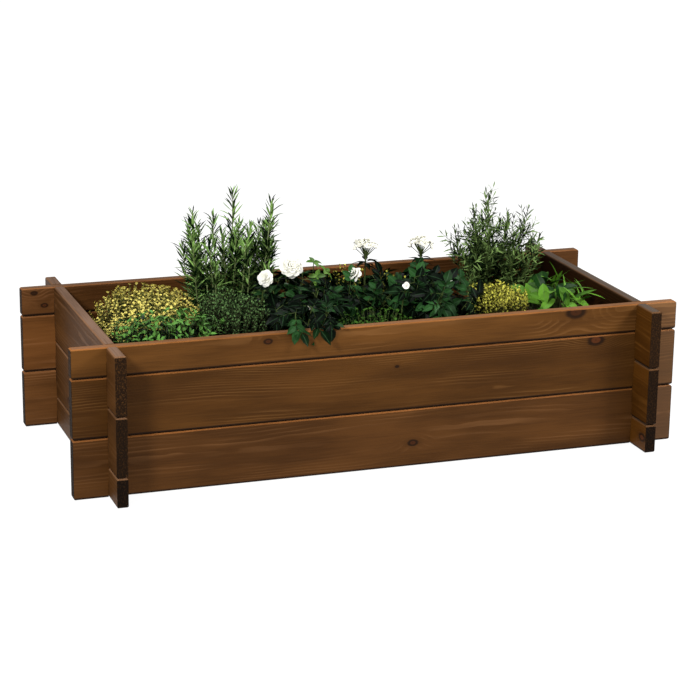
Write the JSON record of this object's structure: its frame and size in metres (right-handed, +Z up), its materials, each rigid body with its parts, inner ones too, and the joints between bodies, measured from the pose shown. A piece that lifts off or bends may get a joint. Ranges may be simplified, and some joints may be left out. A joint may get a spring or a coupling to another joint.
{
  "type": "raised garden bed",
  "caption": "Raised garden bed of interlocking notched timber boards, standing straight on the ground, filled with soil and planted with herbs and small roses.",
  "frame": {"origin": "on the ground, at the middle of the footprint", "axes": "+X along the long walls, +Y from the front wall to the back wall, +Z up"},
  "size_m": [1.2, 0.6, 0.49],
  "materials": {
    "stained_pine": "satin",
    "potting_soil": "matte",
    "golden_leaf": "matte",
    "bright_green_leaf": "satin",
    "dark_green_leaf": "matte",
    "mint_leaf": "matte",
    "needle_leaf": "matte",
    "rose_leaf": "satin",
    "white_petal": "matte",
    "plant_stem": "matte"
  },
  "bodies": {
    "root": {"front_board_lower": "stained_pine", "front_board_middle": "stained_pine", "front_board_upper": "stained_pine", "back_board_lower": "stained_pine", "back_board_middle": "stained_pine", "back_board_upper": "stained_pine", "left_board_lower": "stained_pine", "left_board_middle": "stained_pine", "left_board_upper": "stained_pine", "right_board_lower": "stained_pine", "right_board_middle": "stained_pine", "right_board_upper": "stained_pine", "soil_fill": "potting_soil", "golden_oregano": "golden_leaf", "marjoram": "bright_green_leaf", "thyme": "dark_green_leaf", "rosemary": "needle_leaf", "rose_left": "rose_leaf", "rose_middle": "rose_leaf", "rose_right": "rose_leaf", "creeping_mint": "mint_leaf", "tarragon": "needle_leaf", "golden_thyme": "golden_leaf", "sorrel": "bright_green_leaf"}
  },
  "joints": []
}
